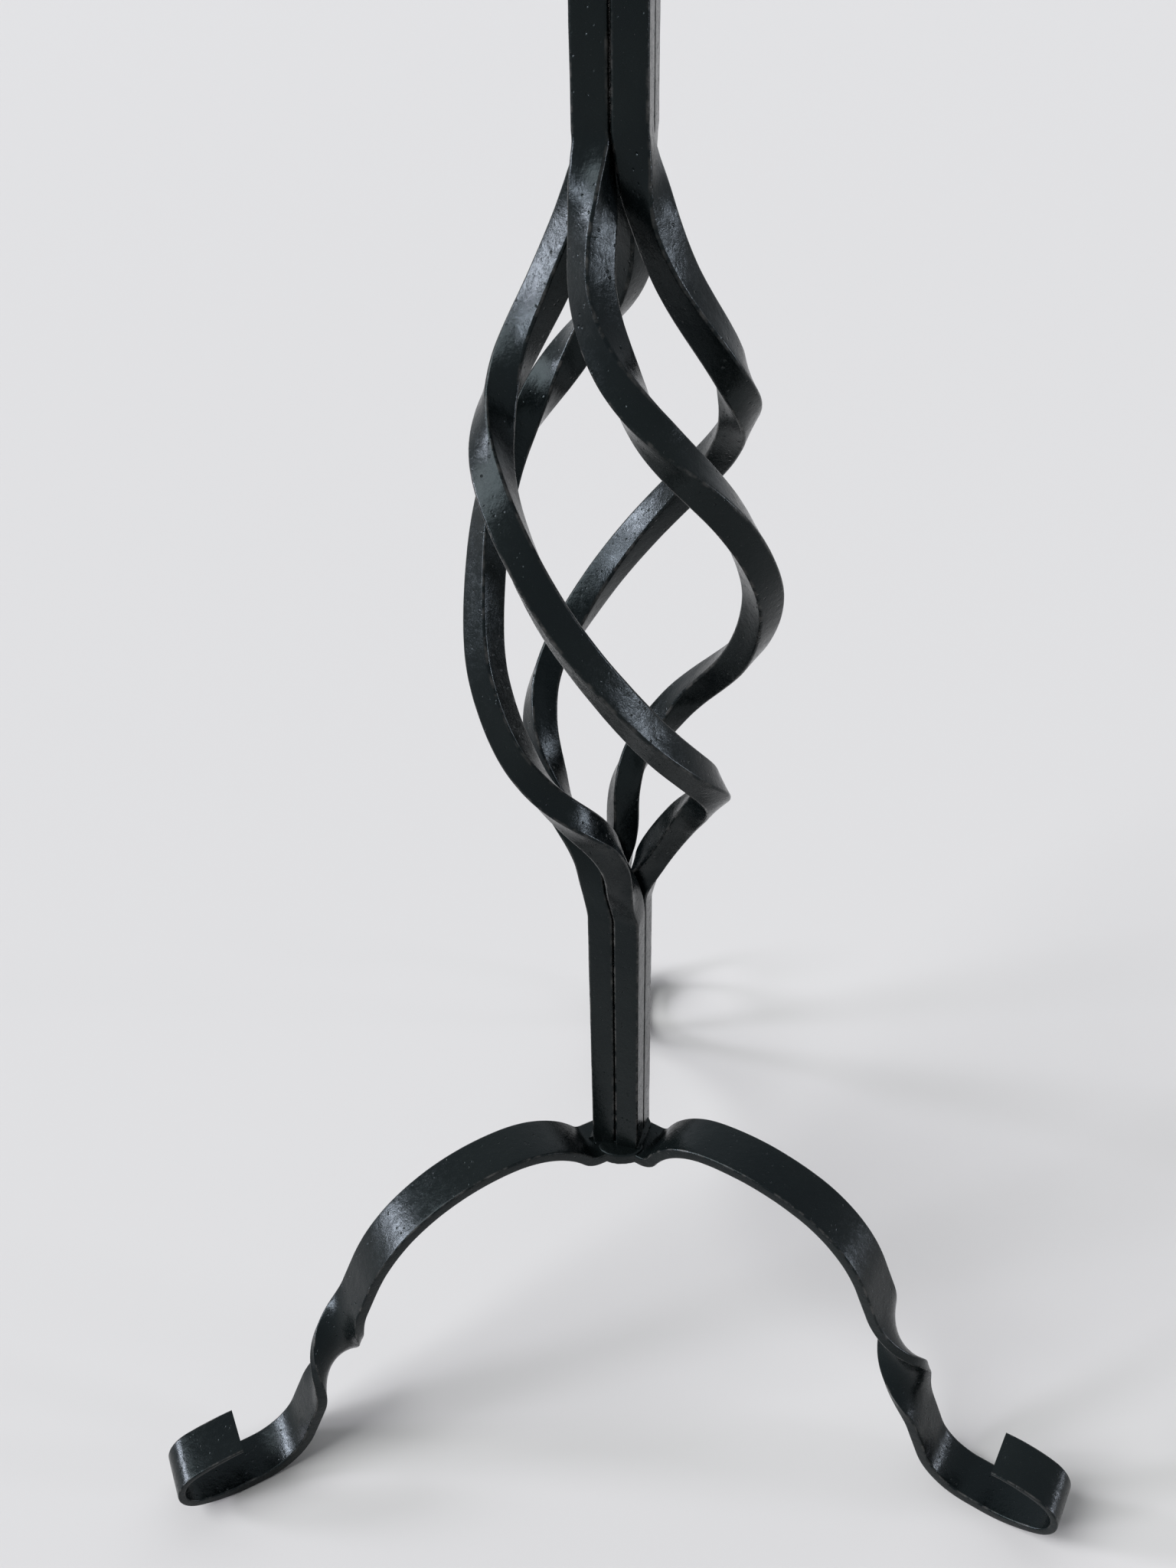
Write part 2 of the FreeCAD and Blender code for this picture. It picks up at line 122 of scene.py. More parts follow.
def pick_edges(piece, wanted):
    """Selects only the edges of a piece in edit mode that the rule wants."""
    bpy.ops.mesh.select_mode(type="EDGE")
    bpy.ops.mesh.select_all(action="DESELECT")
    mesh = bmesh.from_edit_mesh(piece.data)
    for edge in mesh.edges:
        if wanted(edge.verts[0].co, edge.verts[1].co):
            edge.select_set(True)
    bmesh.update_edit_mesh(piece.data)


def rolled_stock(name, width, thickness, length, corner_round, columns):
    """A straight length of rolled bar, standing on end, with rounded edges and enough cuts to bend."""
    rough_parts = 20
    cut_spacing = 0.0012
    level = length / 1e6
    bpy.ops.object.select_all(action="DESELECT")
    bpy.ops.mesh.primitive_cube_add(size=1, location=(0, 0, length / 2))
    piece = bpy.context.object
    piece.name = name
    piece.data.name = name
    piece.scale = (width, thickness, length)
    bpy.ops.object.transform_apply(location=True, rotation=True, scale=True)
    bpy.ops.object.mode_set(mode="EDIT")
    pick_edges(piece, lambda a, b: abs(a.z - b.z) > length / 2)
    bpy.ops.mesh.bevel(offset=corner_round, offset_type="OFFSET", segments=3, profile=0.5, affect="EDGES")
    pick_edges(piece, lambda a, b: abs(a.z - b.z) > length / 2)
    bpy.ops.mesh.subdivide(number_cuts=rough_parts - 1)
    pick_edges(piece, lambda a, b: abs(a.z - b.z) > length / rough_parts / 2)
    bpy.ops.mesh.subdivide(number_cuts=round(length / rough_parts / cut_spacing) - 1)
    pick_edges(piece, lambda a, b: abs(a.x - b.x) > width / 2 and abs(a.z - b.z) < level)
    bpy.ops.mesh.subdivide(number_cuts=columns - 1)
    pick_edges(piece, lambda a, b: abs(a.y - b.y) > thickness / 2 and abs(a.z - b.z) < level)
    bpy.ops.mesh.subdivide(number_cuts=max(round(columns * thickness / width) - 1, 1))
    bpy.ops.object.mode_set(mode="OBJECT")
    mark_corners(piece, width, thickness, corner_round)
    return piece


def mark_corners(piece, width, thickness, corner_round):
    """Marks the long rounded edges of a piece of stock, where brush and polish have thinned the paint."""
    edge = piece.data.attributes.new("worn_edge", "FLOAT", "POINT")
    for vertex in piece.data.vertices:
        inside_x = width / 2 - abs(vertex.co.x)
        inside_y = thickness / 2 - abs(vertex.co.y)
        edge.data[vertex.index].value = 1 if max(inside_x, inside_y) < corner_round * 0.99 else 0


def hammer(piece, spread, depth, seed):
    """Faint unevenness of hot work: the skin moves in and out by up to half the depth."""
    cloud = bpy.data.textures.new(piece.name + "_skin", "CLOUDS")
    cloud.noise_scale = spread
    cloud.noise_depth = 2
    only(piece)
    piece.location = (seed, 0, 0)
    skin = piece.modifiers.new("skin", "DISPLACE")
    skin.texture = cloud
    skin.texture_coords = "GLOBAL"
    skin.strength = depth
    skin.mid_level = 0.5
    bpy.ops.object.modifier_apply(modifier="skin")
    piece.location = (0, 0, 0)


def carry(piece, place):
    """Bends straight stock: place gives the centre, across and through directions at a length along it."""
    seen = {}
    for vertex in piece.data.vertices:
        along = round(vertex.co.z, 7)
        if along not in seen:
            seen[along] = place(along)
        centre, across, through = seen[along]
        vertex.co = centre + across * vertex.co.x + through * vertex.co.y
    piece.data.update()


def finish_skin(piece, angle):
    """Smooth shading that leaves the flats flat."""
    only(piece)
    bpy.ops.object.shade_smooth_by_angle(angle=math.radians(angle))
    flats = piece.modifiers.new("flats", "WEIGHTED_NORMAL")
    flats.keep_sharp = True
    bpy.ops.object.modifier_apply(modifier="flats")


def basket_place(bar, corner, share):
    """Centre of a bar, and the angle its outer corner faces, at a share of the way down the basket."""
    bow = blend(station_shares, bar["bow_shares"], share)
    radius = bundle_radius + bow * (basket_radius - bundle_radius)
    lead = blend(station_shares, bar["lead_angles"], share)
    angle = stem_top_angle + corner + basket_turn_angle * share + lead
    height = basket_high - (basket_high - basket_low) * share
    return around(angle) * radius + UP * height, angle


def bar_frame(bar, corner, along):
    """Centre, across and through directions of a bar at a height over its foot."""
    share_step = 0.001
    straightening_share = 0.025
    height = hub_top + along
    share = min(max((basket_high - height) / (basket_high - basket_low), 0), 1)
    centre, angle = basket_place(bar, corner, share)
    low = basket_place(bar, corner, min(share + share_step, 1))[0]
    high = basket_place(bar, corner, max(share - share_step, 0))[0]
    leaning = ease(min(share, 1 - share) / straightening_share)
    run = ((low - high).normalized() * leaning - UP * (1 - leaning)).normalized()
    outward = around(angle)
    outward = (outward - run * outward.dot(run)).normalized()
    roll = math.radians(blend(roll_shares, roll_angles, share))
    outward = outward * math.cos(roll) - run.cross(outward) * math.sin(roll)
    sideways = run.cross(outward)
    centre.z = height
    return centre, (sideways - outward).normalized(), (sideways + outward).normalized()


def black_iron(name, mottle_scale, roughness_low, roughness_high, relief):
    """Black satin paint brushed over forged steel: uneven gloss, fine scale and pits, thin on the edges."""
    pit_depth = 0.00024
    fine_relief_share = 0.22
    deep_black = (0.0018, 0.0030, 0.0034)
    worn_black = (0.0042, 0.0058, 0.0056)
    dust_grey = (0.085, 0.085, 0.085)
    edge_grey = (0.060, 0.058, 0.054)
    material = bpy.data.materials.new(name)
    material.use_nodes = True
    nodes = material.node_tree.nodes
    links = material.node_tree.links
    shader = nodes["Principled BSDF"]
    shader.inputs["Specular IOR Level"].default_value = 0.17
    shader.inputs["Specular Tint"].default_value = (0.80, 0.96, 1.0, 1)
    place = nodes.new("ShaderNodeTexCoord").outputs["Object"]

    def grain(scale, detail, rough):
        """Cloudy noise over the piece."""
        texture = nodes.new("ShaderNodeTexNoise")
        texture.inputs["Scale"].default_value = scale
        texture.inputs["Detail"].default_value = detail
        texture.inputs["Roughness"].default_value = rough
        links.new(place, texture.inputs["Vector"])
        return texture.outputs["Fac"]

    def between(value, low, high, out_low, out_high):
        """Stretches the part of a value from low to high over another range."""
        part = nodes.new("ShaderNodeMapRange")
        part.inputs["From Min"].default_value = low
        part.inputs["From Max"].default_value = high
        part.inputs["To Min"].default_value = out_low
        part.inputs["To Max"].default_value = out_high
        links.new(value, part.inputs["Value"])
        return part.outputs["Result"]

    def times(a, b):
        """Product of two values."""
        product = nodes.new("ShaderNodeMath")
        product.operation = "MULTIPLY"
        links.new(a, product.inputs[0])
        links.new(b, product.inputs[1])
        return product.outputs["Value"]

    def tint(share, dark, light):
        """Colour between two, each a plain colour or the colour so far."""
        mix = nodes.new("ShaderNodeMix")
        mix.data_type = "RGBA"
        links.new(share, mix.inputs["Factor"])
        for end, colour in (("A", dark), ("B", light)):
            socket = [s for s in mix.inputs if s.name == end and s.type == "RGBA"][0]
            if isinstance(colour, tuple):
                socket.default_value = colour + (1,)
            else:
                links.new(colour, socket)
        return [s for s in mix.outputs if s.type == "RGBA"][0]

    def relief_over(under, height, depth, sunk):
        """Bump of a height over the relief so far, raised or sunk."""
        bump = nodes.new("ShaderNodeBump")
        bump.inputs["Strength"].default_value = 1
        bump.inputs["Distance"].default_value = depth
        bump.invert = sunk
        links.new(height, bump.inputs["Height"])
        if under is not None:
            links.new(under, bump.inputs["Normal"])
        return bump.outputs["Normal"]

    patches = between(grain(scale=28, detail=3, rough=0.5), 0.35, 0.65, 0, 1)
    mottle = grain(mottle_scale, detail=6, rough=0.62)
    fine = grain(scale=1500, detail=4, rough=0.6)
    pits = nodes.new("ShaderNodeTexVoronoi")
    pits.inputs["Scale"].default_value = 420
    pits.inputs["Randomness"].default_value = 1
    links.new(place, pits.inputs["Vector"])
    pit_floor = between(pits.outputs["Distance"], 0.05, 0.22, 1, 0)
    pit_rare = between(grain(scale=140, detail=2, rough=0.5), 0.49, 0.60, 0, 1)
    pit = times(pit_floor, pit_rare)
    edge = nodes.new("ShaderNodeAttribute")
    edge.attribute_name = "worn_edge"
    worn = times(edge.outputs["Fac"], between(grain(scale=240, detail=4, rough=0.6), 0.45, 0.7, 0, 1))
    dust = between(grain(scale=2300, detail=2, rough=0.5), 0.72, 0.80, 0, 0.7)

    paint = tint(patches, deep_black, worn_black)
    paint = tint(dust, paint, dust_grey)
    paint = tint(worn, paint, edge_grey)
    links.new(paint, shader.inputs["Base Color"])
    speckle = between(times(mottle, fine), 0.16, 0.38, roughness_low, roughness_high)
    links.new(speckle, shader.inputs["Roughness"])

    skin = relief_over(None, mottle, relief, sunk=False)
    skin = relief_over(skin, pit, pit_depth, sunk=True)
    skin = relief_over(skin, fine, relief * fine_relief_share, sunk=False)
    links.new(skin, shader.inputs["Normal"])
    return material


forged_black = black_iron("forged_black", mottle_scale=330, roughness_low=0.14, roughness_high=0.34,
                          relief=0.00016)


def painted(piece, material, node):
    """Gives a piece its paint, and lets it stand for its CAD node on the one rigid body."""
    piece.data.materials.clear()
    piece.data.materials.append(material)
    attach(piece, "root")
    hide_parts(node)


for quarter, bar in enumerate(basket_bars):
    corner = 45 + 90 * quarter
    piece = rolled_stock(bar["name"] + "_forged", bar_width, bar_width, stem_top - hub_top,
                         bar_corner_round, columns=4)
    hammer(piece, spread=0.016, depth=0.00024, seed=0.3 * quarter)
    carry(piece, lambda along: bar_frame(bar, corner, along))
    finish_skin(piece, angle=50)
    painted(piece, forged_black, bar["name"])


# The legs: three lengths of 20 x 5 mm flat strip with mitred inner ends that meet under the
# stem. Each is bent over a former, given a half twist at the ankle, drawn out thin at its
# end and curled back at the foot. The same black paint, thinner on the long edges.
strip_width = 0.020
strip_thickness = 0.005
strip_corner_round = 0.0008
leg_stock = 0.335
seat_margin = 0.0005
seat_length = 2 * bundle_radius + seat_margin
foot_flat = 0.006
twist_start_share = 0.15
twist_end_share = 0.84
tip_thickness = 0.0015
half_mitre = math.radians(60)
# Bends and curls are a share of the stock's length and an angle, from the hub outwards.
legs = (
    {
        "name": "leg_right",
        "facing_angle": -31.8,
        "bends": ((0.021, 64), (0.093, -55), (0.134, -30), (0.130, -46)),
        "foot_share": 0.083,
        "curls": ((0.072, 34), (0.072, 130), (0.058, 24)),
    },
    {
        "name": "leg_rear",
        "facing_angle": 88.2,
        "bends": ((0.021, 57), (0.104, -53), (0.128, -30), (0.128, -38)),
        "foot_share": 0.087,
        "curls": ((0.056, 27), (0.073, 140), (0.058, 14)),
    },
    {
        "name": "leg_left",
        "facing_angle": 208.2,
        "bends": ((0.021, 51), (0.114, -50), (0.122, -30), (0.127, -35)),
        "foot_share": 0.091,
        "curls": ((0.060, 27), (0.073, 141), (0.059, 14)),
    },
)


def along_arc(spot, heading, length, bend):
    """Where a run of the strip has got to, and its new heading. A spot is reach and height."""
    if abs(bend) < 1e-9:
        return (spot[0] + length * math.cos(heading), spot[1] + length * math.sin(heading)), heading
    radius = length / bend
    reach = spot[0] + radius * (math.sin(heading + bend) - math.sin(heading))
    height = spot[1] + radius * (math.cos(heading) - math.cos(heading + bend))
    return (reach, height), heading + bend


def leg_runs(leg):
    """Length and bend of each run, with a shin that reaches the floor, and the run that is the shin."""
    runs = [(seat_length, 0)]
    for share, degrees in leg["bends"]:
        runs.append((share * leg_stock, math.radians(degrees)))
    spot = (0, hub_top - strip_thickness / 2)
    heading = 0
    for length, bend in runs:
        spot, heading = along_arc(spot, heading, length, bend)
    foot = leg["foot_share"] * leg_stock
    drop = spot[1] - strip_thickness / 2 + along_arc((0, 0), heading, foot, -heading)[0][1]
    shin = len(runs)
    runs.append((drop / math.sin(-heading), 0))
    runs.append((foot, -heading))
    runs.append((foot_flat, 0))
    for share, degrees in leg["curls"]:
        runs.append((share * leg_stock, math.radians(degrees)))
    return runs, shin


def leg_frame(leg, runs, shin, along):
    """Centre, across and through directions of the strip at a length from the mitre."""
    spot = (0, hub_top - strip_thickness / 2)
    heading = 0
    twist = 0
    left = along
    for number, (length, bend) in enumerate(runs):
        last = number == len(runs) - 1
        part = left if last else min(left, length)
        if number == shin:
            share = part / length
            twist = math.pi * ease((share - twist_start_share) / (twist_end_share - twist_start_share))
        spot, heading = along_arc(spot, heading, part, bend * part / length)
        left -= part
        if left <= 0 and not last:
            break
    out = around(leg["facing_angle"])
    side = UP.cross(out)
    run = out * math.cos(heading) + UP * math.sin(heading)
    top = run.cross(side)
    across = side * math.cos(twist) - top * math.sin(twist)
    through = top * math.cos(twist) + side * math.sin(twist)
    curl_length = sum(share for share, degrees in leg["curls"]) * leg_stock
    to_tip = sum(length for length, bend in runs) - along
    drawn = min(max(1 - to_tip / curl_length, 0), 1)
    thin = 1 - drawn * (1 - tip_thickness / strip_thickness)
    centre = out * spot[0] + UP * spot[1] - top * (strip_thickness / 2 * (1 - thin))
    return centre, across, through * thin


def mitre_tip(piece, mitre):
    """Trims the hub end of the stock to a point of 120 degrees."""
    for vertex in piece.data.vertices:
        if vertex.co.z < mitre:
            aside = abs(vertex.co.x) / (strip_width / 2)
            vertex.co.z = mitre * aside + vertex.co.z * (1 - aside)
    piece.data.update()


for number, leg in enumerate(legs):
    runs, shin = leg_runs(leg)
    length = sum(run[0] for run in runs)
    piece = rolled_stock(leg["name"] + "_bent", strip_width, strip_thickness, length,
                         strip_corner_round, columns=10)
    hammer(piece, spread=0.020, depth=0.00020, seed=2 + 0.4 * number)
    mitre_tip(piece, strip_width / 2 / math.tan(half_mitre))
    carry(piece, lambda along: leg_frame(leg, runs, shin, along))
    finish_skin(piece, angle=50)
    painted(piece, forged_black, leg["name"])


# Weld under the hub: a lump in each corner between two strips. The front one is run right
# across the corner, level with the strips' lower face and a little proud of their tops.
weld_grain = 0.00040
weld_ripple = 0.006
weld_flow_steps = 14
front_gap_angle = -91.8
right_gap_angle = 28.2
left_gap_angle = 148.2
hub_lumps = (
    {"gap": front_gap_angle, "out": 0.0108, "deep": 0.0054, "wide": 0.0098, "high": 0.0060},
    {"gap": right_gap_angle, "out": 0.0100, "deep": 0.0034, "wide": 0.0056, "high": 0.0048},
    {"gap": left_gap_angle, "out": 0.0100, "deep": 0.0036, "wide": 0.0060, "high": 0.0048},
)


def apply_all(piece):
    """Applies a piece's modifiers from the first to the last."""
    only(piece)
    for modifier in list(piece.modifiers):
        bpy.ops.object.modifier_apply(modifier=modifier.name)


def weld_skin(piece, name, depth, seed):
    """Turns a plain block of weld metal into a softly lumpy, flowed surface."""
    only(piece)
    piece.name = name
    piece.data.name = name
    bpy.ops.object.transform_apply(location=True, rotation=True, scale=True)
    grain = piece.modifiers.new("grain", "REMESH")
    grain.mode = "VOXEL"
    grain.voxel_size = weld_grain
    flow = piece.modifiers.new("flow", "SMOOTH")
    flow.factor = 0.5
    flow.iterations = weld_flow_steps
    apply_all(piece)
    hammer(piece, spread=weld_ripple, depth=depth, seed=seed)
    bpy.ops.object.shade_smooth()


bpy.ops.object.select_all(action="DESELECT")
lumps = []
for sizes in hub_lumps:
    middle = hub_top - strip_thickness + sizes["high"] / 2
    bpy.ops.mesh.primitive_cylinder_add(vertices=64, radius=1, depth=1,
                                        location=around(sizes["gap"]) * sizes["out"] + UP * middle)
    lump = bpy.context.object
    lump.scale = (sizes["deep"], sizes["wide"], sizes["high"])
    lump.rotation_euler = (0, 0, math.radians(sizes["gap"]))
    lumps.append(lump)
for lump in lumps:
    lump.select_set(True)
bpy.context.view_layer.objects.active = lumps[0]
bpy.ops.object.join()
hub_weld = bpy.context.object
weld_skin(hub_weld, "hub_weld_lumps", depth=0.0003, seed=5)
painted(hub_weld, forged_black, "hub_weld")


# Weld round the foot of the stem: a low fillet on all four sides, filed back on the front
# side and worked back where no strip lies under it.
half_bundle = bar_width + bar_seam / 2
fillet = 0.0022
fillet_overlap = 0.0003
front_reach = 0.0099
rear_reach = 0.0128
fillet_limits = (
    (stem_foot_angle, front_reach),
    (right_gap_angle, rear_reach),
    (left_gap_angle, rear_reach),
)
bpy.ops.object.select_all(action="DESELECT")
bpy.ops.mesh.primitive_cone_add(vertices=4, radius1=(half_bundle + fillet) * math.sqrt(2),
                                radius2=(half_bundle - fillet_overlap) * math.sqrt(2), depth=fillet,
                                location=(0, 0, hub_top + fillet / 2),
                                rotation=(0, 0, math.radians(stem_foot_angle + 45)))
foot_weld = bpy.context.object
weld_skin(foot_weld, "stem_weld_fillet", depth=0.00022, seed=6)
for vertex in foot_weld.data.vertices:
    for facing, reach in fillet_limits:
        over = vertex.co.dot(around(facing)) - reach
        if over > 0:
            vertex.co -= around(facing) * over
painted(foot_weld, forged_black, "stem_weld")


# Weld under the cap: the same kind of fillet, run round the four bar ends where they meet
# the plate, and painted over.
cap_fillet = 0.0023
bpy.ops.object.select_all(action="DESELECT")
bpy.ops.mesh.primitive_cone_add(vertices=4, radius1=half_bundle * math.sqrt(2),
                                radius2=(half_bundle + cap_fillet) * math.sqrt(2), depth=cap_fillet,
                                location=(0, 0, stem_top - cap_fillet / 2),
                                rotation=(0, 0, math.radians(stem_top_angle + 45)))
cap_weld = bpy.context.object
weld_skin(cap_weld, "cap_weld_fillet", depth=0.0003, seed=7)
painted(cap_weld, forged_black, "cap_weld")


# Cap: a square plate sawn from 4 mm flat, its edges and corners filed round, drilled for
# the screw. Black like the bars.
screw_hole = 0.0027
cap_thickness = 0.004
cap_margin = 0.004
cap_edge_round = 0.0007
drill_length = 0.012
cap_side = 2 * (half_bundle + cap_margin)
bpy.ops.object.select_all(action="DESELECT")
bpy.ops.mesh.primitive_cube_add(size=1, location=(0, 0, stem_top + cap_thickness / 2))
cap = bpy.context.object
cap.name = "stem_cap_filed"
cap.scale = (cap_side, cap_side, cap_thickness)
cap.rotation_euler = (0, 0, math.radians(stem_top_angle))
bpy.ops.object.transform_apply(location=True, rotation=True, scale=True)
bpy.ops.mesh.primitive_cylinder_add(vertices=64, radius=screw_hole, depth=drill_length,
                                    location=(0, 0, stem_top))
drill = bpy.context.object
hole = cap.modifiers.new("hole", "BOOLEAN")
hole.operation = "DIFFERENCE"
hole.solver = "EXACT"
hole.object = drill
apply_all(cap)
bpy.data.objects.remove(drill)
filed = cap.modifiers.new("filed", "BEVEL")
filed.width = cap_edge_round
filed.segments = 3
filed.limit_method = "ANGLE"
filed.angle_limit = math.radians(50)
apply_all(cap)
finish_skin(cap, angle=40)
painted(cap, forged_black, "stem_cap")


# Drip pan: a disc of 1.5 mm sheet with its edge beaten up over a stake into a low wall.
# The floor keeps the faint flats of the hammer.
pan_floor = stem_top + cap_thickness
sheet = 0.0015
pan_radius = 0.050
pan_height = 0.008
pan_rings = (0.012, 0.030)
bend_in = 0.004
bend_up = 0.003
inner_bend_in = 0.0046
inner_bend_up = 0.0036
bend_round = 0.0016
inner_bend_round = 0.0012
rim_round = 0.0006
pan_top = pan_floor + sheet
pan_rim = pan_floor + pan_height
pan_section = (
    (screw_hole, pan_floor), (pan_rings[0], pan_floor), (pan_rings[1], pan_floor),
    (pan_radius - bend_in, pan_floor), (pan_radius, pan_floor + bend_up),
    (pan_radius, pan_rim), (pan_radius - sheet, pan_rim),
    (pan_radius - sheet, pan_floor + inner_bend_up), (pan_radius - inner_bend_in, pan_top),
    (pan_rings[1], pan_top), (pan_rings[0], pan_top), (screw_hole, pan_top),
)
pan_rounds = (((3, 4), bend_round), ((7, 8), inner_bend_round), ((5, 6), rim_round))


def turned(name, corners, rounds, steps):
    """A round piece spun from its half section: corners, then rounds as corner numbers and a radius."""
    same_corner = 1e-6
    same_point = 4e-6
    bpy.ops.object.select_all(action="DESELECT")
    bpy.ops.mesh.primitive_plane_add(size=0.001, location=(0, 0, 0))
    piece = bpy.context.object
    piece.name = name
    piece.data.name = name
    bpy.ops.object.mode_set(mode="EDIT")
    bpy.ops.mesh.select_mode(type="VERT")
    bpy.ops.mesh.select_all(action="SELECT")
    bpy.ops.mesh.merge(type="CENTER")
    bpy.ops.transform.translate(value=(corners[0][0], 0, corners[0][1]))
    for k in range(1, len(corners)):
        step = (corners[k][0] - corners[k - 1][0], 0, corners[k][1] - corners[k - 1][1])
        bpy.ops.mesh.extrude_region_move(TRANSFORM_OT_translate={"value": step})
    bpy.ops.mesh.select_all(action="DESELECT")
    mesh = bmesh.from_edit_mesh(piece.data)
    mesh.verts.ensure_lookup_table()
    mesh.verts[0].select_set(True)
    mesh.verts[len(corners) - 1].select_set(True)
    bmesh.update_edit_mesh(piece.data)
    bpy.ops.mesh.edge_face_add()
    for numbers, radius in rounds:
        bpy.ops.mesh.select_all(action="DESELECT")
        mesh = bmesh.from_edit_mesh(piece.data)
        for vertex in mesh.verts:
            for number in numbers:
                x, z = corners[number]
                if math.hypot(vertex.co.x - x, vertex.co.z - z) < same_corner:
                    vertex.select_set(True)
        bmesh.update_edit_mesh(piece.data)
        bpy.ops.mesh.bevel(offset=radius, segments=4, affect="VERTICES")
    bpy.ops.mesh.select_all(action="SELECT")
    bpy.ops.mesh.spin(steps=steps, angle=2 * math.pi, center=(0, 0, 0), axis=(0, 0, 1))
    bpy.ops.mesh.select_all(action="SELECT")
    bpy.ops.mesh.remove_doubles(threshold=same_point)
    bpy.ops.mesh.normals_make_consistent(inside=False)
    bpy.ops.object.mode_set(mode="OBJECT")
    return piece


pan = turned("drip_pan_beaten", pan_section, pan_rounds, steps=160)
pan_cuts = pan.modifiers.new("cuts", "SUBSURF")
pan_cuts.subdivision_type = "SIMPLE"
pan_cuts.levels = 1
pan_cuts.render_levels = 1
apply_all(pan)
hammer(pan, spread=0.010, depth=0.00045, seed=8)
finish_skin(pan, angle=45)
painted(pan, forged_black, "drip_pan")


# Candle cup: a short piece of tube with a turned lip, its base recessed for the screw's
# head. The bore takes a household candle.
cup_low = pan_top
cup_bore = 0.0115
cup_outside = 0.013
cup_lip = 0.0015
base_thickness = 0.002
recess_depth = 0.003
socket_depth = 0.028
tube_ring = 0.010
head_recess = 0.0047
lip_round = 0.0012
mouth_round = 0.0005
arris_round = 0.0003
socket_round = 0.0008
cup_seat = cup_low + base_thickness
cup_floor = cup_seat + recess_depth
cup_high = cup_floor + socket_depth
lip_low = cup_high - 2 * cup_lip
lip_outside = cup_outside + cup_lip
cup_section = (
    (screw_hole, cup_low), (cup_outside, cup_low), (cup_outside, cup_low + tube_ring),
    (cup_outside, cup_low + 2 * tube_ring), (cup_outside, lip_low), (lip_outside, lip_low),
    (lip_outside, cup_high), (cup_bore, cup_high), (cup_bore, cup_high - tube_ring),
    (cup_bore, cup_high - 2 * tube_ring), (cup_bore, cup_floor), (head_recess, cup_floor),
    (head_recess, cup_seat), (screw_hole, cup_seat),
)
cup_rounds = (((5, 6), lip_round), ((7,), mouth_round), ((1, 11, 12), arris_round), ((10,), socket_round))
cup = turned("candle_cup_turned", cup_section, cup_rounds, steps=128)
hammer(cup, spread=0.008, depth=0.00012, seed=9)
finish_skin(cup, angle=45)
painted(cup, forged_black, "candle_cup")


# Screw: a slotted cheese-head machine screw, its head flush in the cup's recess and its
# shank through pan and cap. Left bright.
end_clearance = 0.0002
shank_radius = 0.0025
head_radius = 0.0045
head_round = 0.0005
shank_end_round = 0.0004
slot_sizes = (0.012, 0.0012, 0.0028)
slot_turn = math.radians(25)
screw_end = stem_top + end_clearance
head_top = cup_floor
screw_section = (
    (head_radius, head_top), (head_radius, cup_seat), (shank_radius, cup_seat),
    (shank_radius, screw_end), (0, screw_end), (0, head_top),
)
screw_rounds = (((3,), shank_end_round), ((0,), head_round))


def bright_steel(name):
    """Turned and faintly brushed steel of a machine screw, dulled in patches."""
    material = bpy.data.materials.new(name)
    material.use_nodes = True
    nodes = material.node_tree.nodes
    shader = nodes["Principled BSDF"]
    shader.inputs["Base Color"].default_value = (0.42, 0.41, 0.39, 1)
    shader.inputs["Metallic"].default_value = 1
    place = nodes.new("ShaderNodeTexCoord")
    stretch = nodes.new("ShaderNodeMapping")
    stretch.inputs["Scale"].default_value = (400, 6000, 400)
    brush = nodes.new("ShaderNodeTexNoise")
    brush.inputs["Scale"].default_value = 1
    brush.inputs["Detail"].default_value = 4
    gloss = nodes.new("ShaderNodeMapRange")
    gloss.inputs["To Min"].default_value = 0.22
    gloss.inputs["To Max"].default_value = 0.48
    relief = nodes.new("ShaderNodeBump")
    relief.inputs["Strength"].default_value = 0.4
    relief.inputs["Distance"].default_value = 0.00004
    for outlet, inlet in (
        (place.outputs["Object"], stretch.inputs["Vector"]),
        (stretch.outputs["Vector"], brush.inputs["Vector"]),
        (brush.outputs["Fac"], gloss.inputs["Value"]),
        (gloss.outputs["Result"], shader.inputs["Roughness"]),
        (brush.outputs["Fac"], relief.inputs["Height"]),
        (relief.outputs["Normal"], shader.inputs["Normal"]),
    ):
        material.node_tree.links.new(outlet, inlet)
    return material


screw = turned("cup_screw_turned", screw_section, screw_rounds, steps=64)
bpy.ops.object.select_all(action="DESELECT")
bpy.ops.mesh.primitive_cube_add(size=1, location=(0, 0, head_top))
slot = bpy.context.object
slot.scale = slot_sizes
slot.rotation_euler = (0, 0, slot_turn)
bpy.ops.object.transform_apply(location=True, rotation=True, scale=True)
sawn = screw.modifiers.new("sawn", "BOOLEAN")
sawn.operation = "DIFFERENCE"
sawn.solver = "EXACT"
sawn.object = slot
apply_all(screw)
bpy.data.objects.remove(slot)
finish_skin(screw, angle=40)
screw.data.materials.clear()
screw.data.materials.append(bright_steel("bright_steel"))
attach(screw, "root")
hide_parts("cup_screw")


